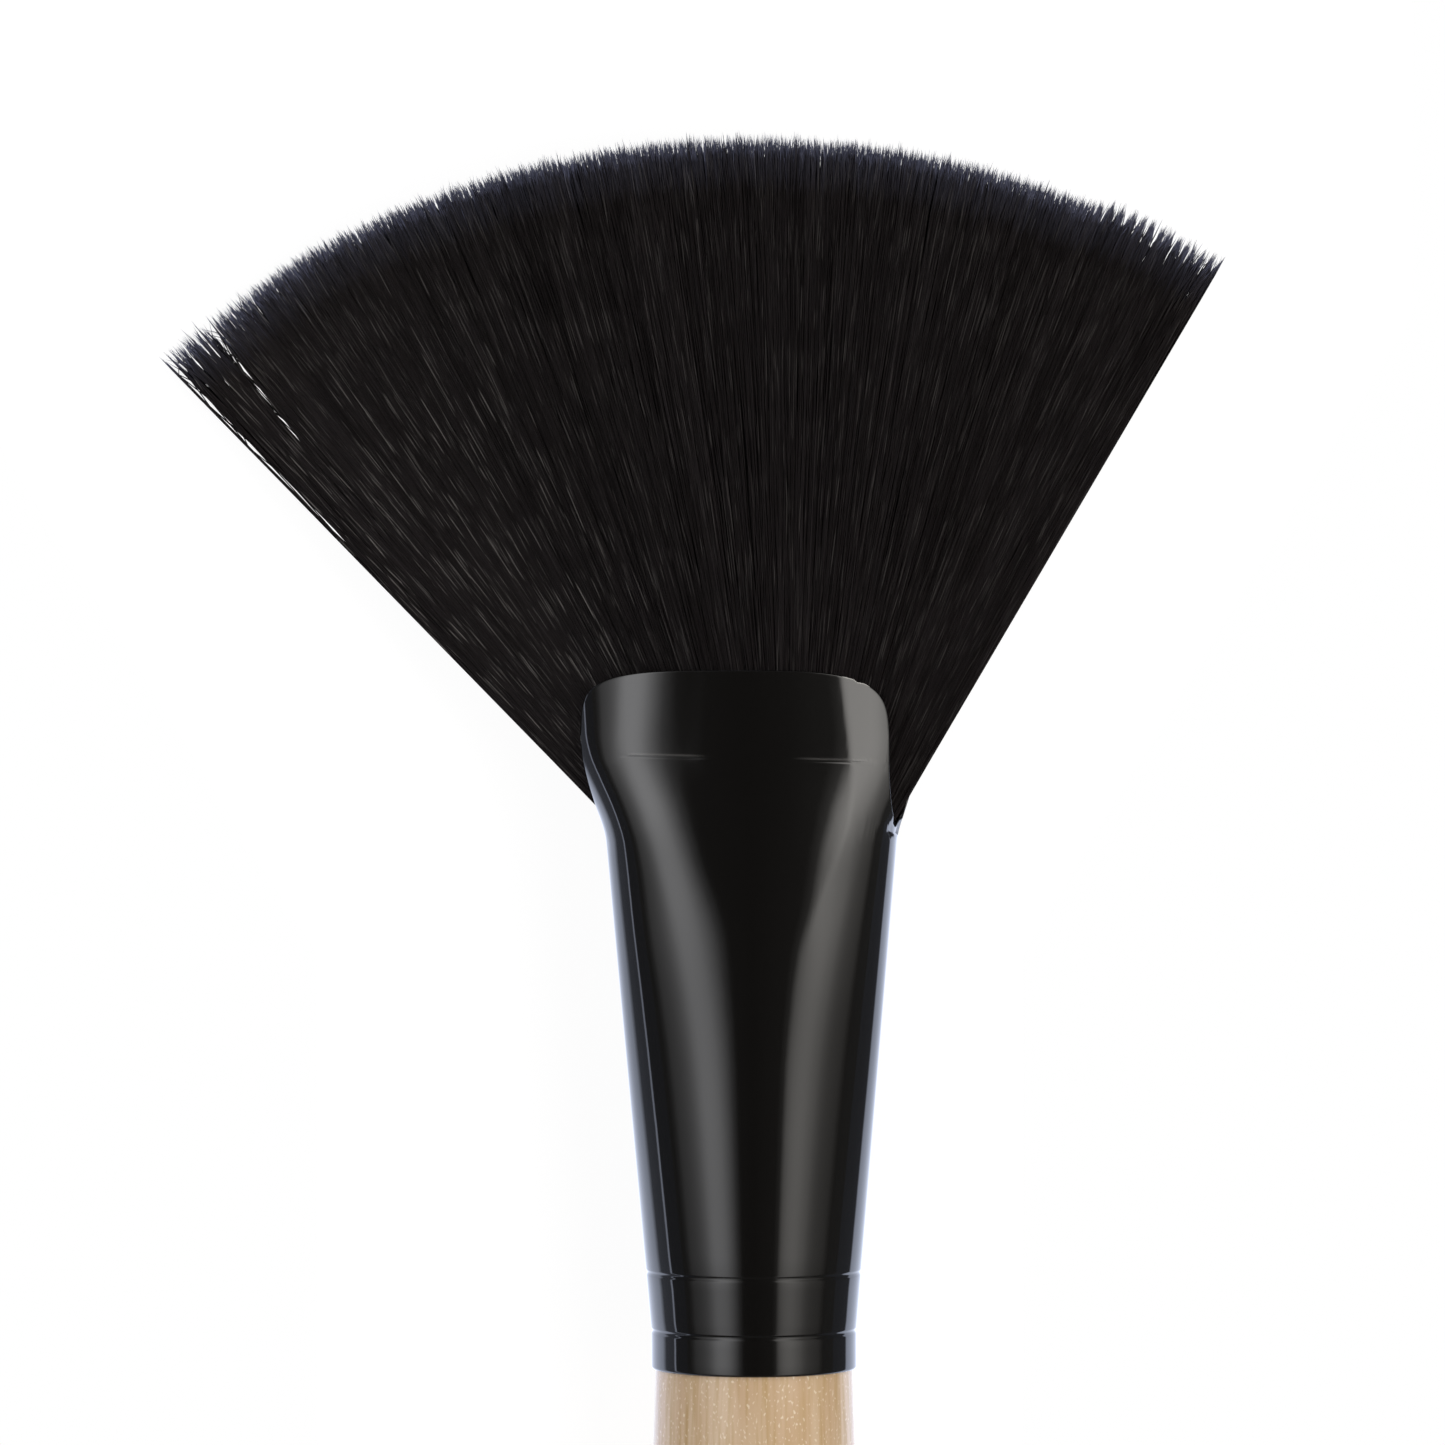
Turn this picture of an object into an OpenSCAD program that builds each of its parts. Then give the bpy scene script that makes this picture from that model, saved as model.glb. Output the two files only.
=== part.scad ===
// Fan makeup brush, lying as it comes to rest: on the swell of its handle, on the
// upper ring of its ferrule and on the left corner of its fan of hair.
// The brush is built along +Y with the fan's face towards +Z, from the rim of the ferrule
// at y = 0, and laid_down() then rolls, pitches and lifts all of it together.
// Origin: on the floor, under the middle of the whole brush. Millimetres.

/* [Ferrule tube] */
// Outside diameter of the rim round the handle
rim_d = 12.5; // [11:0.1:15]
// Thickness of the tube's wall
wall = 0.26; // [0.2:0.02:0.4]
// Length from the rim to the tops of the pressed flaps
ferrule_l = 42.5; // [34:0.5:52]
// Radius that rounds the outer edge of the rim
rim_round = 0.2; // [0.1:0.02:0.2]
// Distance from the rim to the lower ring, where the tube starts to widen
lower_ring_s = 2.35; // [1.8:0.05:3.2]
// Distance from the rim to the upper ring
upper_ring_s = 5.9; // [4.5:0.1:8]
// Growth of the tube's diameter from the rim to the upper ring, where it is last round
shoulder_growth = 0.6; // [0.1:0.1:3.5]
// Width of a pressed ring
ring_w = 0.44; // [0.3:0.02:0.7]
// Depth of a pressed ring
ring_depth = 0.07; // [0.04:0.01:0.12]

/* [Pressed mouth] */
// Width of the tube just below the side slots
neck_w = 17.7; // [15:0.1:21]
// Width of the pressed mouth, over its folded sides
mouth_w = 21.8; // [19:0.1:26]
// Thickness of the tube at the crease that the press leaves
crease_t = 9.2; // [6:0.1:12]
// Thickness of the pressed mouth at its top edge
mouth_t = 8.2; // [5:0.1:10]
// Distance from the top edge down to the crease
crease_drop = 5.4; // [4:0.1:7]
// Height by which the crease is lower on the right and higher on the left
crease_tilt = 0.3; // [0:0.05:0.6]
// How full the section's shoulders are at the feet of the slots, 0 being an ellipse
fullness = 0.28; // [0:0.01:0.3]
// Length of tube below the slots that the press flattens
press_run = 15; // [10:0.5:16]
// How gently the flat sets in along that length, 1 being evenly
press_onset = 1.5; // [1:0.1:3]
// How sharply the press turns the tube in just below the crease
press_power = 2.6; // [2:0.1:4]
// Sideways lean of the pressed mouth towards the left
lean = 0.2; // [0:0.05:0.6]
// Turn of the flaps' top edges about the tube, with the right side going back (degrees)
mouth_turn = 0.8; // [0:0.1:2]

/* [Side slots and flaps] */
// Depth of the side slots from the top edge
slot_depth = 9.5; // [7:0.1:11]
// Width of a side slot along the wall
slot_w = 5.7; // [4.5:0.1:8]
// Turn of both slots about the tube, towards the front on the right (degrees)
slot_turn = 9.4; // [0:0.2:14]
// Height of the flap's rounded corner
corner_h = 4; // [2.5:0.1:5]
// Squareness of the flap's corner, 2 being an ellipse
corner_power = 3.7; // [2:0.1:6]

/* [Handle] */
// Length of the handle below the rim
handle_l = 115; // [80:1:150]
// Clearance between the handle's neck and the tube's bore, all round
neck_gap = 0.02; // [0.01:0.01:0.1]
// Diameter of the handle's swell
swell_d = 13.4; // [12.8:0.1:18]
// Distance from the rim down to the swell
swell_s = 36; // [20:1:50]
// Diameter just above the rounded end
end_d = 8.4; // [6:0.1:11]
// Length of the tenon inside the ferrule
tenon_l = 9; // [6:0.5:11]
// Chamfer at the tenon's tip
tenon_chamfer = 0.8; // [0.3:0.1:1.5]

/* [Hair] */
// Distance from the rim to the roots of the hair
root_s = 15; // [12:0.5:18]
// Lean of the fan's straight left edge (degrees)
left_angle = 44.3; // [30:0.1:55]
// Lean of the fan's straight right edge (degrees)
right_angle = 30.45; // [20:0.1:55]
// Height of the crown of the hair above the rim
crown_s = 75; // [66:0.5:90]
// Radius that the crown is trimmed to
crown_r = 56; // [50:0.5:80]
// Distance of the trimmed arc's centre to the right of the axis
crown_x = -0.15; // [-3:0.05:3]
// Thickness of the fan at the middle of the crown
crown_t = 2.8; // [1.5:0.1:4]
// Thickness of the fan at its outer corners
corner_t = 1.2; // [0.8:0.1:2]
// Clearance between the hair and the wall of the tube
hair_gap = 0.1; // [0.05:0.01:0.3]
// Clearance between the fan's side edges and the wall at the bottoms of the slots
edge_gap = 0.42; // [0.2:0.01:0.8]
// Clearance between the hair and the flaps' edges in the slots
slot_gap = 0.18; // [0.1:0.01:0.4]
// Clearance between the set glue and the wall of the tube
glue_gap = 0.03; // [0.01:0.01:0.05]

/* [Hidden] */

// Heights along the ferrule that follow from its length
slot_s = ferrule_l - slot_depth;
side_s = ferrule_l - corner_h;
crease_s = ferrule_l - crease_drop;
// The neck is the last straight part of the cone, and the mouth is full width a little
// above the foot of the flap's corner
neck_drop = 1;
mouth_rise = 0.5;
neck_s = slot_s - neck_drop;
full_s = side_s + mouth_rise;
press_from_s = slot_s - press_run;

rim_r = rim_d / 2;
bore_r = rim_r - wall;
neck_r = bore_r - neck_gap;
swell_r = swell_d / 2;
shoulder_r = (rim_d + shoulder_growth) / 2;

// Step from 0 to 1 with level ends
function ease(x) = let (c = min(max(x, 0), 1)) c * c * (3 - 2 * c);
// Value a share f of the way from a to b
function mix(a, b, f) = a + (b - a) * f;

// Half the width of the tube at height s: the rim, a straight cone, then the spread of
// the mouth
function cone_half_w(s) = s <= upper_ring_s
    ? mix(rim_r, shoulder_r, min(max((s - lower_ring_s) / (upper_ring_s - lower_ring_s), 0), 1))
    : mix(shoulder_r, neck_w / 2, (s - upper_ring_s) / (neck_s - upper_ring_s));
function half_w(s) = mix(cone_half_w(s), mouth_w / 2, ease((s - neck_s) / (full_s - neck_s)));

// Half the thickness of the tube: round up to the upper ring, pressed in to the crease,
// then nearly straight flaps
function half_t(s) = s <= upper_ring_s ? cone_half_w(s)
    : s <= crease_s
        ? mix(shoulder_r, crease_t / 2,
              pow((s - upper_ring_s) / (crease_s - upper_ring_s), press_power))
        : mix(crease_t / 2, mouth_t / 2, (s - crease_s) / crease_drop);

// How far the section has gone from round to pressed at height s
function pressed(s) = pow(min(max((s - press_from_s) / press_run, 0), 1), press_onset);
// How much the tube holds the pressed shape there: above the feet of the slots the flaps
// are free of each other, and spring back towards their top edges
function held(s) = min(max((ferrule_l - s) / slot_depth, 0), 1);

// A point of the tube's section at height s: t runs round from the right side over the
// front, and inset moves the point in along the section's own normal
function wall_point(s, t, inset = 0) =
    let (
        a = half_w(s),
        b = half_t(s + crease_tilt * cos(t) * pressed(s)),
        k = fullness * pressed(s) * held(s),
        nx = b * cos(t),
        nz = a * sin(t) * (1 + k - 3 * k * cos(t) * cos(t)),
        n = norm([nx, nz]),
        x = a * cos(t) * (1 + k * sin(t) * sin(t)) - inset * nx / n - lean * s / ferrule_l,
        z = b * sin(t) - inset * nz / n,
        turn = mouth_turn * (1 - held(s))
    )
    [x * cos(turn) + z * sin(turn), s, z * cos(turn) - x * sin(turn)];

// Length of the wall from the right side up to each t of the first quarter, as pairs
// [length, t]
quarter_steps = 24;
function quarter_table(s) =
    let (
        p = [for (i = [0 : quarter_steps]) wall_point(s, 90 * i / quarter_steps)],
        chord = [for (i = [0 : quarter_steps]) i == 0 ? 0 : norm(p[i] - p[i - 1])]
    )
    [for (i = 0, sum = 0; i <= quarter_steps; i = i + 1, sum = sum + (i <= quarter_steps ? chord[i] : 0))
        [sum, 90 * i / quarter_steps]];
function quarter_length(s) = let (q = quarter_table(s)) q[quarter_steps][0];

// The t that lies a share f of the way round the wall at height s
function turn_of(f, s) =
    let (
        q = quarter_table(s),
        g = f - floor(f),
        x = g <= 0.25 ? g : g <= 0.5 ? 0.5 - g : g <= 0.75 ? g - 0.5 : 1 - g,
        t = lookup(4 * x * q[quarter_steps][0], q)
    )
    g <= 0.25 ? t : g <= 0.5 ? 180 - t : g <= 0.75 ? 180 + t : 360 - t;

// The cut edge at the top of the tube, before it was pressed: two flaps with rounded
// corners, and two slots with round bottoms between them, as [share round the wall, height]
flap_steps = 32;
slot_steps = 12;
slot_half = slot_w / 2 / (4 * quarter_length(side_s));
flap_half = 0.25 - slot_half;
slot_at = slot_turn / 360;
function flap_edge(at, psi) =
    let (rho = pow(pow(abs(cos(psi)), corner_power) + pow(abs(sin(psi)), corner_power), -1 / corner_power))
    [at - flap_half * rho * cos(psi), side_s + corner_h * rho * sin(psi)];
function slot_edge(at, psi) =
    [at - slot_half * cos(psi), side_s - (slot_depth - corner_h) * sin(psi)];
cut_edge = [
    for (half = [0, 0.5]) each [
        for (i = [0 : slot_steps - 1]) slot_edge(half + slot_at, 180 * i / slot_steps),
        for (i = [0 : flap_steps - 1]) flap_edge(half + slot_at + 0.25, 180 * i / flap_steps)
    ]
];
columns = len(cut_edge);

// Rows up the outside of the tube below the pressed part, as [height, inset]: the rounded
// rim, then each ring as a shallow round groove
rim_rows = [for (a = [0 : 30 : 90]) [rim_round * (1 - cos(a)), rim_round * (1 - sin(a))]];
function ring_rows(s) =
    [for (a = [-180 : 60 : 180]) [s + ring_w / 2 * a / 180, ring_depth * (1 + cos(a)) / 2]];
free_drop = 3;
free_s = press_from_s - free_drop;
outer_rows = concat(rim_rows, ring_rows(lower_ring_s), ring_rows(upper_ring_s),
    [[mix(upper_ring_s, free_s, 0.5), 0], [free_s, 0]]);
inner_rows = concat(
    [for (s = [0, lower_ring_s]) [s, wall]],
    [for (i = [0 : 3]) [mix(upper_ring_s, free_s, i / 3), wall]]
);
lower_steps = 10;
upper_steps = 4;

// One column of points from the last plain row up to the cut edge, with a row along the
// crease where the column reaches it
crease_share = 0.82;
function pressed_column(j, inset) =
    let (
        top = cut_edge[j],
        from = column_share(j),
        bend_s = min(crease_s, mix(free_s, top[1], crease_share))
    )
    [
        for (i = [1 : lower_steps + upper_steps])
            let (
                s = i <= lower_steps ? mix(free_s, bend_s, i / lower_steps)
                    : mix(bend_s, top[1], (i - lower_steps) / upper_steps),
                f = mix(from, top[0], ease((s - free_s) / (top[1] - free_s)))
            )
            wall_point(s, turn_of(f, s), inset)
    ];
function column_share(j) = slot_at - slot_half + j / columns;
function column(j, rows, inset) = concat(
    [for (r = rows) wall_point(r[0], turn_of(column_share(j), r[0]), r[1])],
    pressed_column(j, inset)
);

// Skin of triangles over a grid of points, given as columns of equal length that run
// round in a closed loop. from is the number of the grid's first point.
function skin(n, rows, from, flip) = [
    for (j = [0 : n - 1], i = [0 : rows - 2])
        let (
            a = from + j * rows + i,
            b = from + (j + 1) % n * rows + i
        )
        each flip ? [[a, b, a + 1], [b, b + 1, a + 1]] : [[a, a + 1, b], [b, a + 1, b + 1]]
];
// Band of triangles between one row of a grid and one row of another
function band(n, rows_a, at_a, from_a, rows_b, at_b, from_b) = [
    for (j = [0 : n - 1])
        let (
            next = (j + 1) % n,
            a = from_a + j * rows_a + at_a,
            a2 = from_a + next * rows_a + at_a,
            b = from_b + j * rows_b + at_b,
            b2 = from_b + next * rows_b + at_b
        )
        each [[a, b, a2], [a2, b, b2]]
];

// Closed solid through rings of points. Each ring runs from the right side over the front
// and back under it, so an end is closed by strips between its front and its back.
function end_cap(n, rows, row, flip) = [
    for (j = [0 : n / 2 - 1])
        let (
            a = j * rows + row,
            b = (j + 1) * rows + row,
            c = (n - 1 - j) * rows + row,
            d = (n - j) % n * rows + row
        )
        each [for (f = [[a, b, c], [a, c, d]]) if (f[0] != f[1] && f[1] != f[2] && f[2] != f[0])
            flip ? [f[2], f[1], f[0]] : f]
];
module loft(rings) {
    n = len(rings[0]);
    rows = len(rings);
    polyhedron(
        points = [for (j = [0 : n - 1]) for (r = rings) r[j]],
        faces = concat(
            skin(n, rows, 0, false),
            end_cap(n, rows, 0, false),
            end_cap(n, rows, rows - 1, true)
        ),
        convexity = 4
    );
}

// The fan: its hairs leave the tube as straight lines from one centre, between two
// straight edges that pass just inside the bottoms of the slots, and end on a trimmed arc
fan_from_s = slot_s + 0.1;
root_w = half_w(slot_s) - wall - edge_gap;
centre_drop = 2 * root_w / (tan(left_angle) + tan(right_angle));
centre_s = slot_s - centre_drop;
centre_x = centre_drop * tan(left_angle) - root_w;
crown_y = crown_s - crown_r;
function edge_x(s, angle) = centre_x + (s - centre_s) * tan(angle);
function arc_point(angle) =
    let (
        dir = [sin(angle), cos(angle)],
        off = [centre_x - crown_x, centre_s - crown_y],
        along = off * dir
    )
    [centre_x, centre_s] + dir * (sqrt(along * along - off * off + crown_r * crown_r) - along);
left_tip = arc_point(-left_angle);
right_tip = arc_point(right_angle);

// Where the brush touches the floor: the swell of the handle and the shoulder of the
// ferrule set its pitch, and the left corner of the fan sets its roll
pitch = atan((swell_r - shoulder_r) / (swell_s + upper_ring_s));
lift = shoulder_r * cos(pitch) + upper_ring_s * sin(pitch);
corner_drop = lift - left_tip[1] * sin(pitch);
// The corner's edge is rounded, so it touches at about a quarter of its thickness
corner_bite = corner_t / 4;
corner_reach = norm([left_tip[0], corner_bite]);
roll = asin(corner_drop / cos(pitch) / corner_reach) - atan(corner_bite / abs(left_tip[0]));
middle_x = (left_tip[0] + right_tip[0]) / 2 * cos(roll);
middle_s = (crown_s - handle_l) / 2;
module laid_down() {
    translate([-middle_x, -middle_s, lift])
        rotate([-pitch, 0, 0])
            rotate([0, -roll, 0])
                children();
}

// Turned hardwood handle: a tenon in the ferrule, a long swell and a taper to a rounded end
profile_steps = 24;
end_r = end_d / 2;
handle_profile = concat(
    [[0, tenon_l], [neck_r - tenon_chamfer, tenon_l], [neck_r, tenon_l - tenon_chamfer]],
    [for (i = [0 : profile_steps])
        [mix(neck_r, swell_r, sin(90 * i / profile_steps)), -swell_s * i / profile_steps]],
    [for (i = [1 : profile_steps])
        [mix(swell_r, end_r, (1 - cos(180 * i / profile_steps)) / 2),
         mix(-swell_s, end_r - handle_l, i / profile_steps)]],
    [for (a = [10 : 10 : 80]) [end_r * cos(a), end_r - handle_l - end_r * sin(a)]],
    [[0, -handle_l]]
);
module handle() {
    color("#d6b98c")
        laid_down()
            rotate([-90, 0, 0])
                rotate_extrude($fn = 96)
                    polygon(handle_profile);
}

// Black ferrule: a thin cone, round at the rim, with two pressed rings, cut with a slot at
// each side and pressed to an oval over the hair, so that a flap lies on each face
module ferrule() {
    outer = [for (j = [0 : columns - 1]) each column(j, outer_rows, 0)];
    inner = [for (j = [0 : columns - 1]) each column(j, inner_rows, wall)];
    outer_n = len(outer) / columns;
    inner_n = len(inner) / columns;
    first = len(outer);
    color("#171615")
        laid_down()
            polyhedron(
                points = concat(outer, inner),
                faces = concat(
                    skin(columns, outer_n, 0, false),
                    skin(columns, inner_n, first, true),
                    band(columns, inner_n, 0, first, outer_n, 0, 0),
                    band(columns, outer_n, outer_n - 1, 0, inner_n, inner_n - 1, first)
                ),
                convexity = 8
            );
}

// Plug of set glue that fills the tube between the tenon and the roots of the hair
ring_points = 64;
function wall_ring(s, inset) =
    [for (j = [0 : ring_points - 1]) wall_point(s, 360 * j / ring_points, inset)];
module glue_plug() {
    color("#c9b27a")
        laid_down()
            loft([for (i = [0 : 3]) wall_ring(mix(tenon_l, root_s, i / 3), wall + glue_gap)]);
}

// Half the thickness of the hair in the slots. The slots are turned, so that the lower
// edge of the right one is the nearest to the middle of the hair.
slot_hair_t = -wall_point(side_s, turn_of(slot_at - slot_half, side_s), wall)[2] - slot_gap;

// Half the thickness of the fan at [x, s], where g runs from -1 at the left edge to 1 at
// the right edge: thick where it comes from between the flaps, thin where it comes
// through the slots
function fan_half_t(x, s, g) =
    let (
        out = ease((s - ferrule_l) / (crown_s - ferrule_l)),
        inside_w = half_w(min(s, ferrule_l)) - wall - hair_gap,
        core_w = inside_w * max(1, (s - centre_s) / (ferrule_l - centre_s)),
        core_t = mix(half_t(min(s, ferrule_l)) - wall - hair_gap, crown_t / 2, out),
        side_t = slot_hair_t * ease((s - fan_from_s) / (side_s - fan_from_s)),
        edge_t = mix(side_t, mix(crown_t, corner_t, g * g) / 2, out)
    )
    edge_t + max(0, core_t - edge_t) * max(0, 1 - pow(x / core_w, 2));

// One ring of points round the fan, a share q of the way from the slots to the trimmed arc
edge_power = 0.4;
function fan_ring(q) = [
    for (j = [0 : ring_points - 1])
        let (
            t = 360 * j / ring_points,
            g = cos(t),
            share = (g + 1) / 2,
            root = [mix(edge_x(fan_from_s, -left_angle), edge_x(fan_from_s, right_angle), share), fan_from_s],
            p = mix(root, arc_point(mix(-left_angle, right_angle, share)), q)
        )
        [p[0], p[1], sign(sin(t)) * pow(abs(sin(t)), edge_power) * fan_half_t(p[0], p[1], g)]
];
// Shares along the hair: even steps up to the ferrule's top edge, which has a ring of its
// own, and ever longer ones from there to the trimmed arc
mouth_steps = 6;
fan_steps = 6;
fan_spacing = 1.5;
mouth_share = (ferrule_l - fan_from_s) / (crown_s - fan_from_s);
fan_shares = concat(
    [for (i = [0 : mouth_steps]) mouth_share * i / mouth_steps],
    [for (i = [1 : fan_steps]) mix(mouth_share, 1, pow(i / fan_steps, fan_spacing))]
);
module hair_fan() {
    color("#1c191a")
        laid_down()
            loft(concat(
                [for (i = [0 : 6]) wall_ring(mix(root_s, neck_s, i / 6), wall + hair_gap)],
                [for (q = fan_shares) fan_ring(q)]
            ));
}

handle();
ferrule();
glue_plug();
hair_fan();
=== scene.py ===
"""Looks of a fan makeup brush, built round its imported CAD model.

The sections follow the brush as it is put together: handle, glue, ferrule and hair, then
the table, the lights and the camera. Shapes are worked out in the upright brush's own
frame in millimetres (x to the right, s up from the ferrule's rim, z towards the front),
and laid_down() brings them to where the brush lies, in metres.
"""

import bpy
import numpy as np
from mathutils import Matrix


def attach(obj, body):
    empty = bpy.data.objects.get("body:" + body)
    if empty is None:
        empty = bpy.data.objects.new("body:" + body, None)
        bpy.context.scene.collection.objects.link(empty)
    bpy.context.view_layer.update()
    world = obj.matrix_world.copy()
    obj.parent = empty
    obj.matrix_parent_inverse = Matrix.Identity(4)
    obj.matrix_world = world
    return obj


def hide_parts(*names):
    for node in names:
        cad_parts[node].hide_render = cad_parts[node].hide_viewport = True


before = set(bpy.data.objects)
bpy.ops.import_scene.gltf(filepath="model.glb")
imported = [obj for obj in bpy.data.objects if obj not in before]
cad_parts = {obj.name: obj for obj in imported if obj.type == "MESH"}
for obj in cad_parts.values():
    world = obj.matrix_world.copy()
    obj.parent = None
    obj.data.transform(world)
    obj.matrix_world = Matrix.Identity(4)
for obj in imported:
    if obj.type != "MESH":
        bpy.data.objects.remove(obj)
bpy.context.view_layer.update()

# ---------------------------------------------------------------------------------------
# Handle: one piece of pale birch, turned to a long swell and a taper, sanded and dipped in
# clear satin lacquer. Its tenon is glued into the ferrule.
# ---------------------------------------------------------------------------------------
handle_l = 115
neck_r = 5.97
swell_r = 6.7
swell_s = 36
end_r = 4.2
tenon_l = 9
tenon_chamfer = 0.8

# The brush lies on the handle's swell, the ferrule's upper ring and the left corner of the
# fan, so it is rolled to the left and pitched a little
roll = np.radians(9.5805)
pitch = np.radians(0.2051)
lift = 6.5711
middle = (-3.9119, -20)


def laid_down(points):
    """Where points [x, s, z] of the upright brush come to rest: rolled about its axis,
    pitched about x, lifted and centred, in metres."""
    x, s, z = np.moveaxis(np.asarray(points, float), -1, 0)
    x, z = x * np.cos(roll) - z * np.sin(roll), x * np.sin(roll) + z * np.cos(roll)
    s, z = s * np.cos(pitch) + z * np.sin(pitch), z * np.cos(pitch) - s * np.sin(pitch)
    return np.stack([x - middle[0], s - middle[1], z + lift], -1) / 1000


def new_piece(name, points, faces, material):
    """Smooth mesh of points, in the upright brush's millimetres, and of arrays of
    triangles or quads, riding on the brush's one body."""
    mesh = bpy.data.meshes.new(name)
    corners = np.concatenate([f.ravel() for f in faces])
    sizes = np.concatenate([np.full(len(f), f.shape[1]) for f in faces])
    mesh.vertices.add(len(points))
    mesh.vertices.foreach_set("co", laid_down(points).ravel())
    mesh.loops.add(len(corners))
    mesh.loops.foreach_set("vertex_index", corners)
    mesh.polygons.add(len(sizes))
    mesh.polygons.foreach_set("loop_start", np.cumsum(sizes) - sizes)
    mesh.update(calc_edges=True)
    mesh.shade_smooth()
    mesh.materials.append(material)
    piece = bpy.data.objects.new(name, mesh)
    bpy.context.scene.collection.objects.link(piece)
    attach(piece, "root")
    return piece


def linear(colour):
    """Linear RGBA of an sRGB hex colour."""
    c = np.array([int(colour[i : i + 2], 16) for i in (1, 3, 5)]) / 255
    c = np.where(c <= 0.04045, c / 12.92, ((c + 0.055) / 1.055) ** 2.4)
    return (*c.tolist(), 1)


def new_material(name):
    """An empty material and its node tree."""
    material = bpy.data.materials.new(name)
    material.use_nodes = True
    material.node_tree.nodes.clear()
    return material, material.node_tree


def add(tree, kind, inputs=(), **settings):
    """Adds a node with its settings, and fills its inputs with values or with the outputs
    of other nodes. A ramp's stops are pairs of a position and a linear colour."""
    node = tree.nodes.new("ShaderNode" + kind)
    stops = settings.pop("stops", ())
    for name, value in settings.items():
        setattr(node, name, value)
    for name, value in dict(inputs).items():
        if isinstance(value, bpy.types.NodeSocket):
            tree.links.new(value, node.inputs[name])
        else:
            node.inputs[name].default_value = value
    for i, (at, colour) in enumerate(stops):
        marks = node.color_ramp.elements
        mark = marks[i] if i < len(marks) else marks.new(1.0)
        mark.position, mark.color = at, colour
    return node


# The colour sockets of a Mix node have the same names as its other sockets, so they go by
# number
FACTOR, COLOUR_A, COLOUR_B, COLOUR_OUT = 0, 6, 7, 2


def rings_to_faces(around, rows):
    """Quads of a tube of rows of points that each go once round."""
    i, j = np.meshgrid(np.arange(rows - 1), np.arange(around), indexing="ij")
    a, b = i * around + j, i * around + (j + 1) % around
    return np.stack([a, a + around, b + around, b], -1).reshape(-1, 4)


def pole_faces(around, row, pole):
    """Triangles from a row of a tube to the one point that closes it."""
    j = np.arange(around)
    start = row * around
    return np.stack([start + j, np.full(around, pole), start + (j + 1) % around], -1)


# The wood's patterns, as cells per metre across the grain and as a share of that along it:
# growth rings in streaks some 2 mm wide, fibres some 0.3 mm, and ray flecks, really under
# 0.1 mm, drawn a little coarser so that they show
ring_scale, ring_stretch = 420, 0.07
fibre_scale, fibre_stretch = 3200, 0.045
ray_scale, ray_stretch = 7600, 0.55


def birch():
    """Birch turned on a lathe: straight fine grain, warmer streaks where the growth rings
    come to the surface, and short pale ray flecks. The satin lacquer gives a soft sheen
    at grazing angles."""
    material, tree = new_material("birch_satin_lacquer")
    place = add(tree, "TexCoord").outputs["Object"]
    long = add(tree, "Mapping", {"Vector": place, "Scale": (1, ring_stretch, 1)})
    rings = add(
        tree, "TexNoise",
        {"Vector": long.outputs["Vector"], "Scale": ring_scale, "Detail": 3.0, "Roughness": 0.6},
    )
    wood = add(
        tree, "ValToRGB", {"Fac": rings.outputs["Fac"]},
        stops=[(0.3, linear("#D9C2A4")), (0.5, linear("#CFB290")), (0.68, linear("#C29F79"))],
    )
    # The fibres are darker lines, also felt in the lacquer
    fine = add(tree, "Mapping", {"Vector": place, "Scale": (1, fibre_stretch, 1)})
    fibre = add(
        tree, "TexNoise", {"Vector": fine.outputs["Vector"], "Scale": fibre_scale, "Detail": 2.0}
    )
    fibres = add(
        tree, "MapRange", {"Value": fibre.outputs["Fac"], "From Min": 0.42, "From Max": 0.7}
    ).outputs["Result"]
    wood = add(
        tree, "Mix",
        {FACTOR: fibres, COLOUR_A: wood.outputs["Color"], COLOUR_B: linear("#BF9E70")},
        data_type="RGBA",
    )
    short = add(tree, "Mapping", {"Vector": place, "Scale": (1, ray_stretch, 1)})
    ray = add(
        tree, "TexNoise", {"Vector": short.outputs["Vector"], "Scale": ray_scale, "Detail": 0.0}
    )
    rays = add(
        tree, "MapRange",
        {"Value": ray.outputs["Fac"], "From Min": 0.66, "From Max": 0.8, "To Max": 0.55},
    ).outputs["Result"]
    wood = add(
        tree, "Mix",
        {FACTOR: rays, COLOUR_A: wood.outputs[COLOUR_OUT], COLOUR_B: linear("#F4E7CD")},
        data_type="RGBA",
    )
    bump = add(tree, "Bump", {"Height": fibres, "Strength": 0.3, "Distance": 2e-5})
    surface = add(
        tree, "BsdfPrincipled",
        {"Base Color": wood.outputs[COLOUR_OUT], "Roughness": 0.42, "IOR": 1.5,
         "Normal": bump.outputs["Normal"], "Coat Weight": 0.5, "Coat Roughness": 0.22},
    )
    add(tree, "OutputMaterial", {"Surface": surface.outputs["BSDF"]})
    return material


def handle_radius(s):
    """Radius of the handle at height s: a quarter of a sine from the neck to the swell,
    half a cosine down to the end, and a round end."""
    drop = -s
    swell = neck_r + (swell_r - neck_r) * np.sin(np.pi / 2 * np.clip(drop / swell_s, 0, 1))
    taper = np.clip((drop - swell_s) / (handle_l - end_r - swell_s), 0, 1)
    body = swell + (end_r - swell_r) * (1 - np.cos(np.pi * taper)) / 2
    past = np.clip(drop - (handle_l - end_r), 0, end_r)
    return np.where(past > 0, np.sqrt(np.maximum(end_r**2 - past**2, 0)), body)


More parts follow.
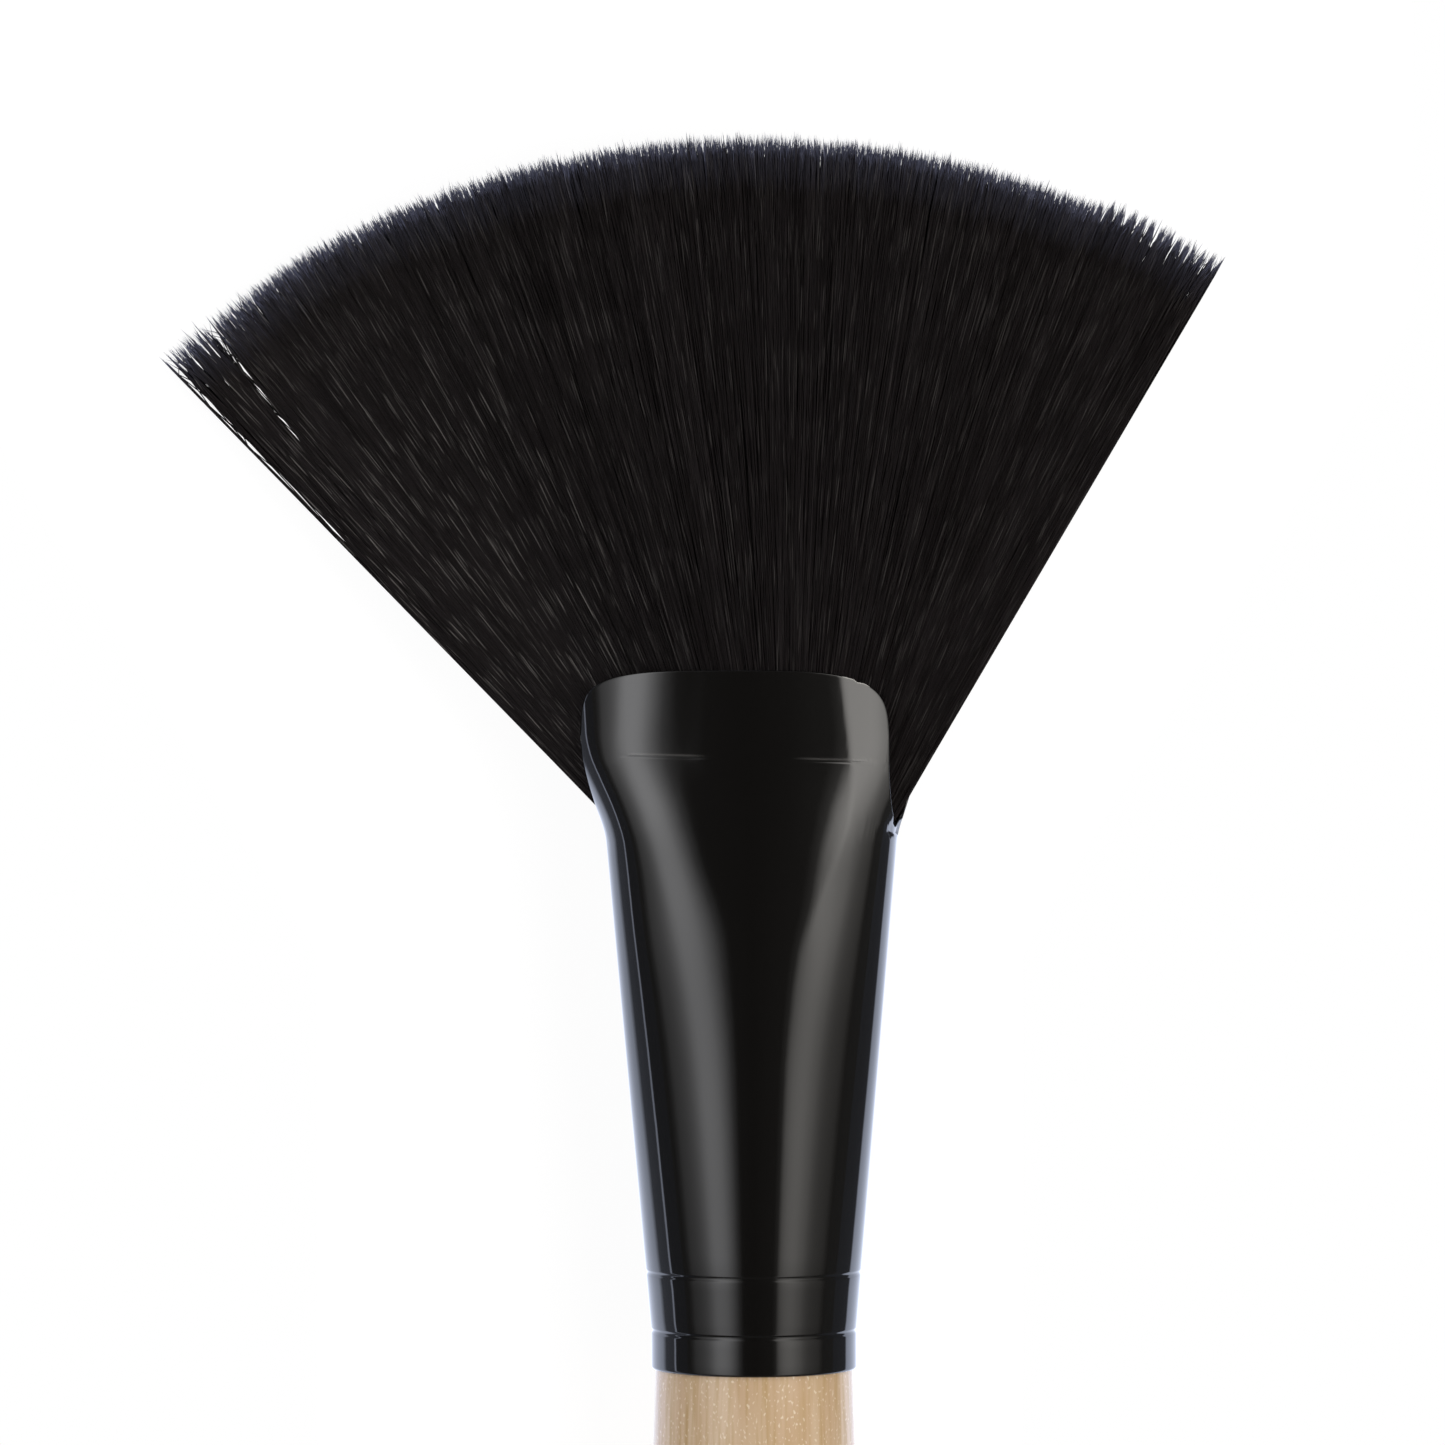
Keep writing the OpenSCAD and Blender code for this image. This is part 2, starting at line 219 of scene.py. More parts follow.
handle_around, handle_down, end_down = 128, 110, 20
tenon_foot = 0.05
end_turn = np.linspace(0, np.pi / 2, end_down)[1:-1]
handle_s = np.concatenate([
    [tenon_l, tenon_l - tenon_chamfer, tenon_foot],
    np.linspace(0, end_r - handle_l, handle_down),
    end_r - handle_l - end_r * np.sin(end_turn),
])
handle_r = handle_radius(handle_s)
handle_r[:3] = [neck_r - tenon_chamfer, neck_r, neck_r]
turn = np.linspace(0, 2 * np.pi, handle_around, endpoint=False)
handle_points = np.stack([
    handle_r[:, None] * np.cos(turn),
    np.repeat(handle_s[:, None], handle_around, 1),
    handle_r[:, None] * np.sin(turn),
], -1).reshape(-1, 3)
handle_points = np.concatenate([handle_points, [[0, tenon_l, 0], [0, -handle_l, 0]]])
handle_rows = len(handle_s)
tip_pole = pole_faces(handle_around, handle_rows - 1, handle_rows * handle_around + 1)
tenon_pole = pole_faces(handle_around, 0, handle_rows * handle_around)
handle = new_piece(
    "turned_handle", handle_points,
    [rings_to_faces(handle_around, handle_rows)[:, ::-1], tip_pole[:, ::-1], tenon_pole],
    birch(),
)
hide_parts("handle")

# ---------------------------------------------------------------------------------------
# Glue: epoxy poured over the knotted roots of the hair, set hard and amber. It is shut in
# between the tenon and the hair.
# ---------------------------------------------------------------------------------------
epoxy, tree = new_material("set_epoxy")
place = add(tree, "TexCoord").outputs["Object"]
# Clouds some 3 mm across, where the resin set at different speeds
cloud = add(tree, "TexNoise", {"Vector": place, "Scale": 330, "Detail": 2.0})
amber = add(
    tree, "ValToRGB", {"Fac": cloud.outputs["Fac"]},
    stops=[(0.3, linear("#C39A4A")), (0.7, linear("#A87B32"))],
)
resin = add(
    tree, "BsdfPrincipled", {"Base Color": amber.outputs["Color"], "Roughness": 0.25, "IOR": 1.55}
)
add(tree, "OutputMaterial", {"Surface": resin.outputs["BSDF"]})
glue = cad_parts["glue_plug"]
glue.data.materials.clear()
glue.data.materials.append(epoxy)

# ---------------------------------------------------------------------------------------
# Ferrule: a seamless aluminium cone with two rolled rings, lacquered gloss black. A slot
# was cut at each side of its mouth, and a press then closed it over the hair, so that a
# flap lies on each face, with a crease across it and a small fold at the foot of a slot.
# ---------------------------------------------------------------------------------------
rim_r = 6.25
wall = 0.26
ferrule_l = 42.5
rim_round = 0.2
lower_ring_s = 2.35
upper_ring_s = 5.9
shoulder_r = 6.55
ring_w = 0.44
ring_depth = 0.07
neck_w = 17.7
mouth_w = 21.8
crease_t = 9.2
mouth_t = 8.2
crease_s = ferrule_l - 5.4
crease_tilt = 0.3
fullness = 0.28
press_run = 15
press_onset = 1.5
press_power = 2.6
lean = 0.2
mouth_turn = np.radians(0.8)
slot_depth = 9.5
slot_w = 5.7
slot_at = 9.4 / 360
corner_h = 4.0
corner_power = 3.7
slot_s = ferrule_l - slot_depth
side_s = ferrule_l - corner_h
neck_s = slot_s - 1
full_s = side_s + 0.5
press_from_s = slot_s - press_run
free_s = press_from_s - 3

# The front flap's ridge and fold: where each starts, how high it stands, its place x low
# down, how far it shifts higher up, and how far its two sides run out
ridge_s, ridge_rise, ridge_h = 26, 6, 0.16
ridge_x, ridge_shift, ridge_shift_s, ridge_shift_run = -4.1, 3.2, 25.5, 11.6
ridge_left, ridge_left_w, ridge_right, ridge_right_w = 3.5, 3.2, 4.3, 3.8
fold_s, fold_rise, fold_h = 25, 4, 0.045
fold_x, fold_shift, fold_shift_s, fold_shift_run = 2.9, 2.5, 24, 13
fold_left, fold_right = 2.2, 1.4


def ease(x):
    """Step from 0 to 1 with level ends."""
    c = np.clip(x, 0, 1)
    return c * c * (3 - 2 * c)


def mix(a, b, f):
    """Value a share f of the way from a to b."""
    return a + (b - a) * f


def rim_radius(s):
    """Radius of the round part of the tube: even up to the lower ring, then straight out
    to the upper one."""
    up = np.clip((s - lower_ring_s) / (upper_ring_s - lower_ring_s), 0, 1)
    return mix(rim_r, shoulder_r, up)


def half_w(s):
    """Half the width of the tube: the rim, a straight cone, then the spread of the mouth."""
    cone = mix(shoulder_r, neck_w / 2, (s - upper_ring_s) / (neck_s - upper_ring_s))
    cone = np.where(s <= upper_ring_s, rim_radius(s), cone)
    return mix(cone, mouth_w / 2, ease((s - neck_s) / (full_s - neck_s)))


def half_t(s):
    """Half the thickness of the tube: round to the upper ring, then pressed in by a power
    of the height up to the crease, then straight flaps."""
    up = np.clip((s - upper_ring_s) / (crease_s - upper_ring_s), 0, 1)
    pressed_in = mix(shoulder_r, crease_t / 2, up**press_power)
    flap = mix(crease_t / 2, mouth_t / 2, (s - crease_s) / (ferrule_l - crease_s))
    return np.where(s <= upper_ring_s, rim_radius(s), np.where(s <= crease_s, pressed_in, flap))


def pressed(s):
    """How far the section has gone from round to pressed."""
    return np.clip((s - press_from_s) / press_run, 0, 1) ** press_onset


def held(s):
    """How much the tube holds that shape: the flaps spring back towards their top edges."""
    return np.clip((ferrule_l - s) / slot_depth, 0, 1)


def flap_swell(x, s):
    """How far the front flap stands out of the plain wall: one soft ridge down its left
    side, a product of two steps, and a sharp fold down its right side, a product of two
    squares, both dying out below the slots."""
    shift = np.clip((s - ridge_shift_s) / ridge_shift_run, 0, 1) ** press_power
    from_ridge = x - ridge_x + ridge_shift * shift
    ridge = ridge_h * ease((s - ridge_s) / ridge_rise)
    ridge = ridge * ease((from_ridge + ridge_left) / ridge_left_w)
    ridge = ridge * ease((ridge_right - from_ridge) / ridge_right_w)
    from_fold = x - fold_x - fold_shift * ease((s - fold_shift_s) / fold_shift_run)
    fold = np.clip((from_fold + fold_left) / fold_left, 0, 1)
    fold = fold * np.clip((fold_right - from_fold) / fold_right, 0, 1)
    return ridge + fold_h * ease((s - fold_s) / fold_rise) * fold**2


def wall_point(s, t, inset=0.0):
    """A point of the tube's section at height s: an ellipse with full shoulders,
    x = a cos t (1 + k sin^2 t) and z = b sin t, moved in along its own normal, and turned
    a little where the flaps are free."""
    a = half_w(s)
    b = half_t(s + crease_tilt * np.cos(t) * pressed(s))
    k = fullness * pressed(s) * held(s)
    nx = b * np.cos(t)
    nz = a * np.sin(t) * (1 + k - 3 * k * np.cos(t) ** 2)
    n = np.hypot(nx, nz)
    inset = inset - flap_swell(a * np.cos(t), s) * (np.sin(t) > 0)
    x = a * np.cos(t) * (1 + k * np.sin(t) ** 2) - inset * nx / n - lean * s / ferrule_l
    z = b * np.sin(t) - inset * nz / n
    turn = mouth_turn * (1 - held(s))
    return np.stack([
        x * np.cos(turn) + z * np.sin(turn), s + 0 * x, z * np.cos(turn) - x * np.sin(turn)
    ], -1)


# Table of the turn t at each height and each share of the way round a quarter of the wall
table_s = np.linspace(0, ferrule_l, 256)
table_t = np.linspace(0, np.pi / 2, 128)
table_share = np.linspace(0, 0.25, 128)
table_run = np.linalg.norm(np.diff(wall_point(table_s[:, None], table_t), axis=1), axis=-1)
table_run = np.pad(np.cumsum(table_run, 1), ((0, 0), (1, 0)))
table_turn = np.stack([np.interp(4 * table_share * run[-1], run, table_t) for run in table_run])


def turn_of(share, s):
    """The turn t that lies a share of the way round the wall at height s, read from the
    table between its four nearest entries."""
    share = share % 1
    quarter = np.minimum(share % 0.5, 0.5 - share % 0.5)
    row = np.clip(s / ferrule_l * (len(table_s) - 1), 0, len(table_s) - 1.001)
    column = np.clip(quarter / 0.25 * (len(table_share) - 1), 0, len(table_share) - 1.001)
    i, j = row.astype(int), column.astype(int)
    u, v = row - i, column - j
    t = mix(mix(table_turn[i, j], table_turn[i, j + 1], v),
            mix(table_turn[i + 1, j], table_turn[i + 1, j + 1], v), u)
    return np.where(share <= 0.25, t, np.where(share <= 0.5, np.pi - t,
                    np.where(share <= 0.75, np.pi + t, 2 * np.pi - t)))


# The cut edge before pressing, as [share round the wall, height]: each half has a slot
# with a round foot and a flap with superellipse corners
girth = 4 * np.interp(side_s, table_s, table_run[:, -1])
slot_half = slot_w / 2 / girth
flap_half = 0.25 - slot_half
slot_steps, flap_steps = 40, 116
psi = np.pi * np.arange(slot_steps) / slot_steps
slot_edge = np.stack(
    [-slot_half * np.cos(psi), side_s - (slot_depth - corner_h) * np.sin(psi)], -1
)
psi = np.pi * np.arange(flap_steps) / flap_steps
rho = np.abs(np.cos(psi)) ** corner_power + np.abs(np.sin(psi)) ** corner_power
rho = rho ** (-1 / corner_power)
flap_edge = np.stack(
    [0.25 - flap_half * rho * np.cos(psi), side_s + corner_h * rho * np.sin(psi)], -1
)
cut = np.concatenate([slot_edge, flap_edge, slot_edge + [0.5, 0], flap_edge + [0.5, 0]])
cut[:, 0] += slot_at
columns = len(cut)

# A nick in the front flap's edge near its right corner, where the sheared edge tore
nick_x, nick_w, nick_depth = 6.35, 0.13, 0.13
along = (np.roll(cut, -1, 0) - np.roll(cut, 1, 0)) * [girth, 1]
along[0], along[-1] = along[1], along[-2]
inward = np.stack([along[:, 1], -along[:, 0]], -1) / np.linalg.norm(along, axis=-1)[:, None]
edge_x = wall_point(cut[:, 1], turn_of(cut[:, 0], cut[:, 1]))[:, 0]
front_flap = (cut[:, 0] < 0.5 + slot_at - slot_half) & (cut[:, 1] > side_s)
from_nick = np.where(front_flap, np.abs(edge_x - nick_x), ferrule_l)
cut += inward * (nick_depth * np.exp(-((from_nick / nick_w) ** 4)))[:, None] / [girth, 1]

# Rows of the outer sheet, as [height, inset], up to where the press takes hold
rim_turn = np.radians(np.arange(0, 91, 15))
rim_rows = rim_round * np.stack([1 - np.cos(rim_turn), 1 - np.sin(rim_turn)], -1)
ring_turn = np.radians(np.arange(-180, 181, 30))
ring_shape = np.stack(
    [ring_w / 2 * ring_turn / np.pi, ring_depth * (1 + np.cos(ring_turn)) / 2], -1
)


def plain_rows(low, high, count):
    """Rows without inset between two heights."""
    s = np.linspace(low, high, count + 2)[1:-1]
    return np.stack([s, 0 * s], -1)


outer_rows = np.concatenate([
    rim_rows,
    plain_rows(rim_round, lower_ring_s - ring_w / 2, 3),
    ring_shape + [lower_ring_s, 0],
    plain_rows(lower_ring_s + ring_w / 2, upper_ring_s - ring_w / 2, 5),
    ring_shape + [upper_ring_s, 0],
    plain_rows(upper_ring_s + ring_w / 2, free_s, 7), [[free_s, 0]],
])
inner_rows = np.stack([np.linspace(0, free_s, 8), np.full(8, wall)], -1)
base_share = slot_at - slot_half + np.arange(columns) / columns
edge_round = 0.07
edge_turn = np.radians(np.arange(0, 91, 22.5))
# The rows end this far short of the cut edge, and bend at the crease or at this share of
# their way where the edge lies lower
edge_short = 0.16
bend_share = 0.82

# The crease: a groove with a lip above it, each with its depth or height and its width,
# that dies out towards the flap's middle and its sides
groove_depth, groove_w = 0.03, 0.06
lip_h, lip_w, lip_up = 0.01, 0.08, 0.15
crease_inner, crease_inner_w = 2.2, 1.5
crease_outer, crease_outer_w = 7.9, 0.8

# The facet beside the right slot's foot: how steeply it turns in from its line, and the
# fold across the wall that it starts at
facet_slope, facet_depth = 0.3, 0.16
facet_x, facet_spread, facet_spread_s = 7.87, 0.93, 33.05
facet_s, facet_fold_w = 32.5, 0.12


def crease_height(t):
    """Height of the press's crease round the wall: lower on the right."""
    return crease_s - crease_tilt * np.cos(t)


def outer_inset(s, t):
    """Depth below the plain wall: the crease's sharp groove with a lip above it, dying
    out towards the flap's sides, and beside the foot of the right slot a turned-in facet
    that starts at a fold across the wall."""
    x = wall_point(s, t)[..., 0]
    off = s - crease_height(t)
    from_axis = np.abs(x + lean)
    across = ease((crease_outer - from_axis) / crease_outer_w)
    across = across * ease((from_axis - crease_inner) / crease_inner_w)
    crease = groove_depth * np.exp(-((off / groove_w) ** 2))
    crease = crease - lip_h * np.exp(-(((off - lip_up) / lip_w) ** 2))
    past = x - facet_x - facet_spread * np.maximum(s - facet_spread_s, 0)
    facet = np.clip(facet_slope * past, 0, facet_depth)
    facet = facet * ease((s - facet_s) / facet_fold_w) * (np.sin(t) > 0)
    return crease * across + facet


def sheet(inset_of, rows, shares, inside):
    """Points of one side of the sheet, row by row: plain rows first, then rows that run
    from the last plain one to the cut edge, closing in on it sideways as they rise."""
    low_s = rows[:, :1]
    low = wall_point(low_s, turn_of(base_share[None], low_s + 0 * base_share), rows[:, 1:])
    reach = cut + inward * edge_short / [girth, 1]
    crease = crease_height(turn_of(cut[:, 0], cut[:, 1]))
    bend = np.minimum(crease, mix(free_s, reach[:, 1], bend_share))
    up = shares[:, None]
    s = np.where(up <= 1, mix(free_s, bend, up), mix(bend, reach[:, 1], up - 1))
    f = mix(base_share, reach[:, 0], ease((s - free_s) / (reach[:, 1] - free_s)))
    t = turn_of(f, s)
    main = wall_point(s, t, inset_of(s, t))
    back = edge_round * (1 - np.sin(edge_turn[:, None]))
    deep = edge_round * (1 - np.cos(edge_turn[:, None]))
    edge = cut[None] + inward[None] * back[..., None] / [girth, 1]
    edge_s, edge_t = edge[..., 1], turn_of(edge[..., 0], edge[..., 1])
    if inside:
        edge_inset = wall - deep
    else:
        edge_inset = np.minimum(deep + outer_inset(edge_s, edge_t), wall)
    return np.concatenate([low, main, wall_point(edge_s, edge_t, edge_inset)])


# Shares of the rows' way, 0 to 1 up to the crease and 1 to 2 on to the edge, with the rows
# close together where the crease is
outer_shares = np.concatenate([
    np.linspace(0, 0.97, 38)[1:], 1 + np.linspace(-0.012, 0, 9),
    1 + 0.006 * np.arange(1, 14), np.linspace(1.09, 2, 24),
])
outer = sheet(outer_inset, outer_rows, outer_shares, False)
inner = sheet(lambda s, t: wall, inner_rows, np.linspace(0, 2, 26)[1:], True)
ferrule_points = np.concatenate([outer, inner[::-1]]).reshape(-1, 3)
ferrule_quads = rings_to_faces(columns, len(outer) + len(inner))
# The last row joins the first, round the rim's lower face
last = (len(outer) + len(inner) - 1) * columns
j = np.arange(columns)
rim_face = np.stack([last + j, j, (j + 1) % columns, last + (j + 1) % columns], -1)


def black_lacquer():
    """Gloss black lacquer baked on aluminium: a black body under a clear skin, so it
    mirrors the lights in sharp-edged bands and everything at grazing angles. The press
    polished the flaps, most of all on the right, so they mirror more, and the metal is
    bare at the sheared edge. Just above the crease, on its lip, a faint pale line in the
    bare metal's colour is a painted highlight. A faint orange peel ruffles the bands."""
    material, tree = new_material("gloss_black_lacquer")
    place = add(tree, "TexCoord").outputs["Object"]
    wear_and_highlight = add(tree, "Attribute", attribute_name="wear_and_highlight")
    parts = add(tree, "SeparateColor", {"Color": wear_and_highlight.outputs["Color"]})
    # Blue: bare metal at the sheared edge, and the painted highlight along the crease's lip
    bare_and_highlight = parts.outputs["Blue"]
    body = add(
        tree, "Mix", {FACTOR: bare_and_highlight, COLOUR_A: linear("#121110"), COLOUR_B: linear("#D0CDC8")},
        data_type="RGBA",
    )
    rough = add(tree, "MapRange", {"Value": bare_and_highlight, "To Min": 0.05, "To Max": 0.5})
    metal = add(tree, "Math", {0: bare_and_highlight, 1: 0.35}, operation="MULTIPLY")
    peel = add(tree, "TexNoise", {"Vector": place, "Scale": 1000 / 0.9, "Detail": 1.0})
    bump = add(
        tree, "Bump", {"Height": peel.outputs["Fac"], "Strength": 1.0, "Distance": 1.5e-6}
    )
    surface = add(
        tree, "BsdfPrincipled",
        {"Base Color": body.outputs[COLOUR_OUT], "Metallic": metal.outputs[0],
         "Roughness": rough.outputs["Result"], "IOR": 1.52, "Normal": bump.outputs["Normal"],
         "Coat Weight": parts.outputs["Red"], "Coat IOR": 1.8, "Coat Roughness": 0.05,
         "Coat Normal": bump.outputs["Normal"]},
    )
    add(tree, "OutputMaterial", {"Surface": surface.outputs["BSDF"]})
    return material


ferrule = new_piece(
    "pressed_ferrule", ferrule_points, [ferrule_quads, rim_face], black_lacquer()
)
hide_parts("ferrule")

# Polish on either side, in two steps, as [share, height that it starts at, its rise]
polish_right = [(0.22, 20, 10), (0.48, 30, 5)]
polish_left = [(0.1, 22, 8), (0.15, 31, 4)]
polish_x, polish_w = 1, 3
# The painted highlight just above the crease, on its lip and within the crease's ends, and
# how much of the bare metal's colour it takes, and half the stretch of sheared edge at the
# nick that is bare
crease_highlight_share, crease_highlight_up, crease_highlight_w, crease_highlight_in = 0.07, 0.16, 0.06, 0.2
sheared_w = 0.8

# Wear and painted highlight as colour shares: red how much the press polished the lacquer,
# blue bare metal at the sheared edge and the painted highlight on the crease's lip
x, s, z = ferrule_points.T
right_polish, left_polish = (
    sum(share * ease((s - from_s) / rise) for share, from_s, rise in steps)
    for steps in (polish_right, polish_left)
)
polished = np.where(x > 0, right_polish, left_polish) * ease((np.abs(x) - polish_x) / polish_w)
from_axis = np.abs(x + lean)
# Painted highlight: a faint pale line of bare-metal colour along the crease's lip
crease_highlight = np.exp(-(((s - crease_s + crease_tilt * x / (mouth_w / 2) - crease_highlight_up) / crease_highlight_w) ** 2))
crease_highlight *= crease_highlight_share * ease((crease_outer - crease_highlight_in - from_axis) / crease_outer_w)
crease_highlight *= ease((from_axis - crease_inner - crease_highlight_in) / crease_inner_w)
sheet_row = np.repeat(np.arange(len(outer) + len(inner)), columns)
sheared = (np.abs(sheet_row - len(outer)) < len(edge_turn)) & (s > side_s)
sheared = sheared & (np.abs(x - nick_x + lean) < sheared_w)
# Bare metal at the sheared edge and the painted crease highlight, on the front only
bare_and_highlight = np.maximum(crease_highlight, sheared) * (z > 0)
wear_and_highlight = np.stack([polished, 0 * x, bare_and_highlight, 1 + 0 * x], -1)
layer = ferrule.data.attributes.new("wear_and_highlight", "FLOAT_COLOR", "POINT")
layer.data.foreach_set("color", wear_and_highlight.astype(np.float32).ravel())

# ---------------------------------------------------------------------------------------
# Hair: a bundle of black nylon filaments, tied and glued at the roots and spread flat by
# the pressed ferrule, so that it leaves through the mouth and the side slots. Each filament
# tapers to a fine tip, painted pale for the light that shines through and round it, and the
# tips cling together in small locks.
# ---------------------------------------------------------------------------------------
left_angle, right_angle = np.radians(44.3), np.radians(30.45)
root_s = 15.0
crown_s, crown_r, crown_x = 75.0, 56.0, -0.15
crown_t, corner_t = 2.8, 1.2
hair_gap = 0.1
slot_gap, root_gap, foot_gap = 0.18, 0.42, 0.1
slot_foot = turn_of(np.float64(slot_at - slot_half), np.float64(side_s))
slot_hair_t = -wall_point(side_s, slot_foot, wall)[2] - slot_gap
root_w = half_w(np.float64(slot_s)) - wall - root_gap
fan_from_s = slot_s + foot_gap
centre_drop = 2 * root_w / (np.tan(left_angle) + np.tan(right_angle))
centre_s = slot_s - centre_drop
centre_x = centre_drop * np.tan(left_angle) - root_w


def arc_distance(angle):
    """Distance from the fan's centre to its trimmed arc, along a hair's angle."""
    off_x, off_s = centre_x - crown_x, centre_s - (crown_s - crown_r)
    along = off_x * np.sin(angle) + off_s * np.cos(angle)
    return np.sqrt(along**2 - off_x**2 - off_s**2 + crown_r**2) - along


def fan_half_t(x, s, g):
    """Half the thickness of the fan: thick between the flaps, thin where it comes through
    the slots, and thinner towards the crown and the outer corners."""
    out = ease((s - ferrule_l) / (crown_s - ferrule_l))
    inside = np.minimum(s, ferrule_l)
    core_w = (half_w(inside) - wall - hair_gap) * np.maximum(
        1, (s - centre_s) / (ferrule_l - centre_s)
    )
    core_t = mix(half_t(inside) - wall - hair_gap, crown_t / 2, out)
    side_t = slot_hair_t * ease((s - fan_from_s) / (side_s - fan_from_s))
    edge_t = mix(side_t, mix(crown_t, corner_t, g * g) / 2, out)
    return edge_t + np.maximum(0, core_t - edge_t) * np.maximum(0, 1 - (x / core_w) ** 2)


def black_nylon():
    """Dyed nylon filament, matt: near black, with painted highlights, short paler strokes
    where a hair would turn its side to the light, and translucent tips painted pale
    blue-grey for the light that shines through and round them."""
    material, tree = new_material("dyed_nylon_filament")
    shade = add(tree, "Attribute", attribute_name="shade")
    parts = add(tree, "SeparateColor", {"Color": shade.outputs["Color"]})
    strand = add(tree, "UVMap", uv_map="strand").outputs["UV"]
    # The strand map has one unit for each painted highlight stroke's length, and each hair its
    # own place
    glint_noise = add(
        tree, "TexNoise", {"Vector": strand, "Scale": 1.0, "Detail": 1.0}, noise_dimensions="2D"
    )
    painted_glints = add(
        tree, "MapRange",
        {"Value": glint_noise.outputs["Fac"], "From Min": 0.62, "From Max": 0.72,
         "To Max": parts.outputs["Blue"]},
    ).outputs["Result"]
    # Lightness: random tone by lock and hair, and painted light that makes the left side lighter
    body = add(
        tree, "Mix",
        {FACTOR: parts.outputs["Red"], COLOUR_A: linear("#0C0808"), COLOUR_B: linear("#3A3536")},
        data_type="RGBA",
    )
    # Painted highlights: short pale strokes along the hairs, where a hair would turn its side to
    # the light
    body = add(
        tree, "Mix",
        {FACTOR: painted_glints, COLOUR_A: body.outputs[COLOUR_OUT], COLOUR_B: linear("#7B7774")},
        data_type="RGBA",
    )
    # Painted light at the tips: pale blue-grey for the light that shines through and round them
    body = add(
        tree, "Mix",
        {FACTOR: parts.outputs["Green"], COLOUR_A: body.outputs[COLOUR_OUT],
         COLOUR_B: linear("#9094B2")},
        data_type="RGBA",
    )
    surface = add(
        tree, "BsdfPrincipled",
        {"Base Color": body.outputs[COLOUR_OUT], "Roughness": 0.55, "IOR": 1.5,
         "Specular IOR Level": 0.1},
    )
    add(tree, "OutputMaterial", {"Surface": surface.outputs["BSDF"]})
    return material


def spikes(paths, radii, turns):
    """Points and faces of one closed three-sided spike for each path of points, thick as
    radii say, each turned about its own line."""
    count, rows = paths.shape[:2]
    way = np.gradient(paths, axis=1)
    way /= np.linalg.norm(way, axis=-1, keepdims=True)
    side = np.cross(way, [0, 0, 1.0])
    side /= np.linalg.norm(side, axis=-1, keepdims=True)
    up = np.cross(side, way)
    a = turns[:, None, None] + np.radians([0, 120, 240])
    around = np.cos(a)[..., None] * side[:, :-1, None] + np.sin(a)[..., None] * up[:, :-1, None]
    rings = paths[:, :-1, None] + around * radii[:, :-1, None, None]
    points = np.concatenate([rings.reshape(count, -1, 3), paths[:, -1:]], 1)
    size = 3 * (rows - 1) + 1
    i, j = np.meshgrid(np.arange(rows - 2), np.arange(3), indexing="ij")
    a, b = i * 3 + j, i * 3 + (j + 1) % 3
    quads = np.stack([a, b, b + 3, a + 3], -1).reshape(-1, 4)
    top = 3 * (rows - 2)
    ends = np.array([[top, top + 1, size - 1], [top + 1, top + 2, size - 1],
                     [top + 2, top, size - 1], [2, 1, 0]])
    start = size * np.arange(count)[:, None, None]
    return points.reshape(-1, 3), [(quads + start).reshape(-1, 4), (ends + start).reshape(-1, 3)]


draw = np.random.default_rng(11)
nylon = black_nylon()
hairs = 11200
pieces = 4
hair_r = 0.043

# Locks of clinging tips, some 0.3 mm apart, as places g across the fan from -1 to 1: wide
# and loose at the right corner, and at the left one the hairs of a lock stand apart
lock_count = 205
lock_reach = 0.997
wide_g, wide_share = 0.74, 0.927
loose_g, loose_run = 0.7, 0.12
apart_g, apart_run = -0.72, 0.15
lock_at = np.cumsum(draw.uniform(0.65, 1.35, lock_count))
lock_at = np.interp(
    (lock_at - lock_at[0]) / np.ptp(lock_at),
    [0, wide_share, 1], [-lock_reach, wide_g, lock_reach],
)
lock_w = np.gradient(lock_at)
lock_loose = ease((lock_at - loose_g) / loose_run)
lock_apart = ease((apart_g - lock_at) / apart_run)
# How much a lock is cut short, in mm, and its tone as a whole and row by row along it, half
# of which it takes from its neighbour
lock_short = draw.uniform(0, 0.12, lock_count) + lock_loose * draw.uniform(0, 0.3, lock_count)
lock_tone = draw.normal(0, 0.6, (lock_count, 1)) + draw.normal(0, 0.45, (lock_count, 10))
lock_tone += np.roll(lock_tone, 1, 0)

# Each hair: its lock, its place g across the fan, where hairs get fewer towards the two
# corners, and its place v through the thickness, where four in five lie close to a face
thin_g, thin_run, thin_share = 0.8, 0.2, 0.45
face_share, face_depth = 0.8, 0.12
g = draw.uniform(-1, 1, hairs)
g = g[draw.uniform(0, 1, hairs) > thin_share * ease((np.abs(g) - thin_g) / thin_run)]
count = len(g)
lock = np.searchsorted((lock_at[1:] + lock_at[:-1]) / 2, g)
off = (g - lock_at[lock]) / lock_w[lock]
v = draw.uniform(-1, 1, count)
on_face = draw.uniform(0, 1, count) < face_share
v = np.where(on_face, np.sign(v) * (1 - face_depth * np.abs(v)), v)

# Rows along a hair: the root, the neck of the tube, then shares of the way from the slots'
# feet to the tip, and the last three at a fixed distance from the tip. From the third row
# on, cling says how far a hair goes over to the middle of its lock.
shares = np.array([0.14, 0.3, 0.47, 0.64, 0.82])
tip_drop = np.array([3.2, 1.1, 0])
cling = np.array([0, 0, 0, 0, 0, 0.04, 0.4, 1.0])
cling_apart = np.array([0, 0, 0, 0, 0, 0.16, 0.4, 0])
